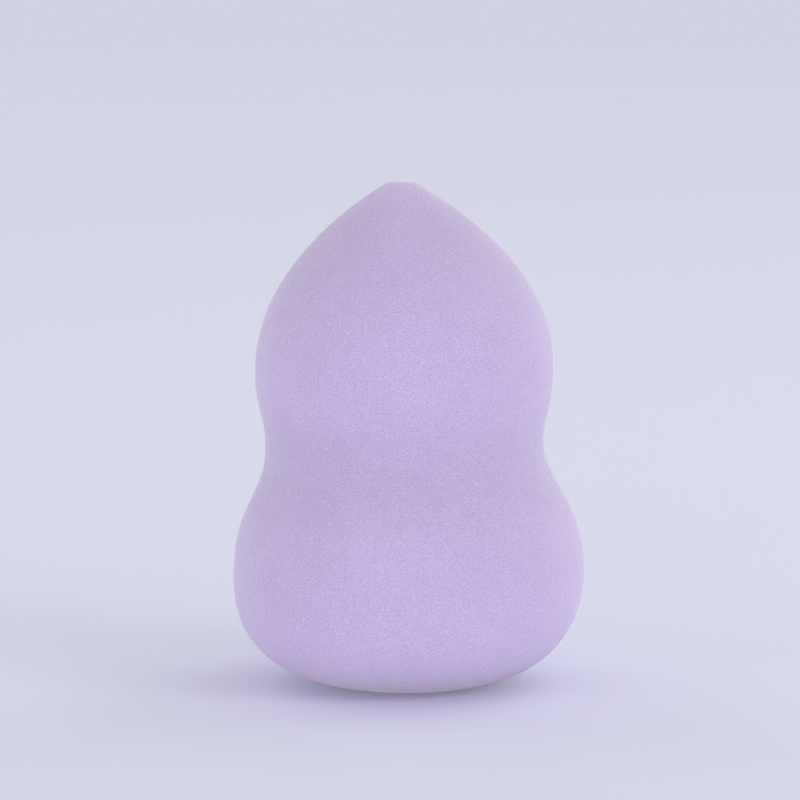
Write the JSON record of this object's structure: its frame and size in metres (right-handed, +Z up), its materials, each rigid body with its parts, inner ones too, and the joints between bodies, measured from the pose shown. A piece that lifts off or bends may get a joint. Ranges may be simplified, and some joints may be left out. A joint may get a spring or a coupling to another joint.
{
  "type": "makeup sponge",
  "caption": "Gourd-shaped makeup sponge of fine soft foam, with a pointed nose trimmed flat at the tip, a drawn-in waist and a round lower end that stands on a small flat foot.",
  "frame": {"origin": "middle of the flat foot that the sponge stands on", "axes": "+Z up along the sponge's own axis, from the foot to the tip; the body is round, so +X and +Y are alike"},
  "size_m": [0.042, 0.042, 0.06],
  "materials": {
    "foam": "matte"
  },
  "bodies": {
    "root": {"foam_body": "foam"}
  },
  "joints": []
}
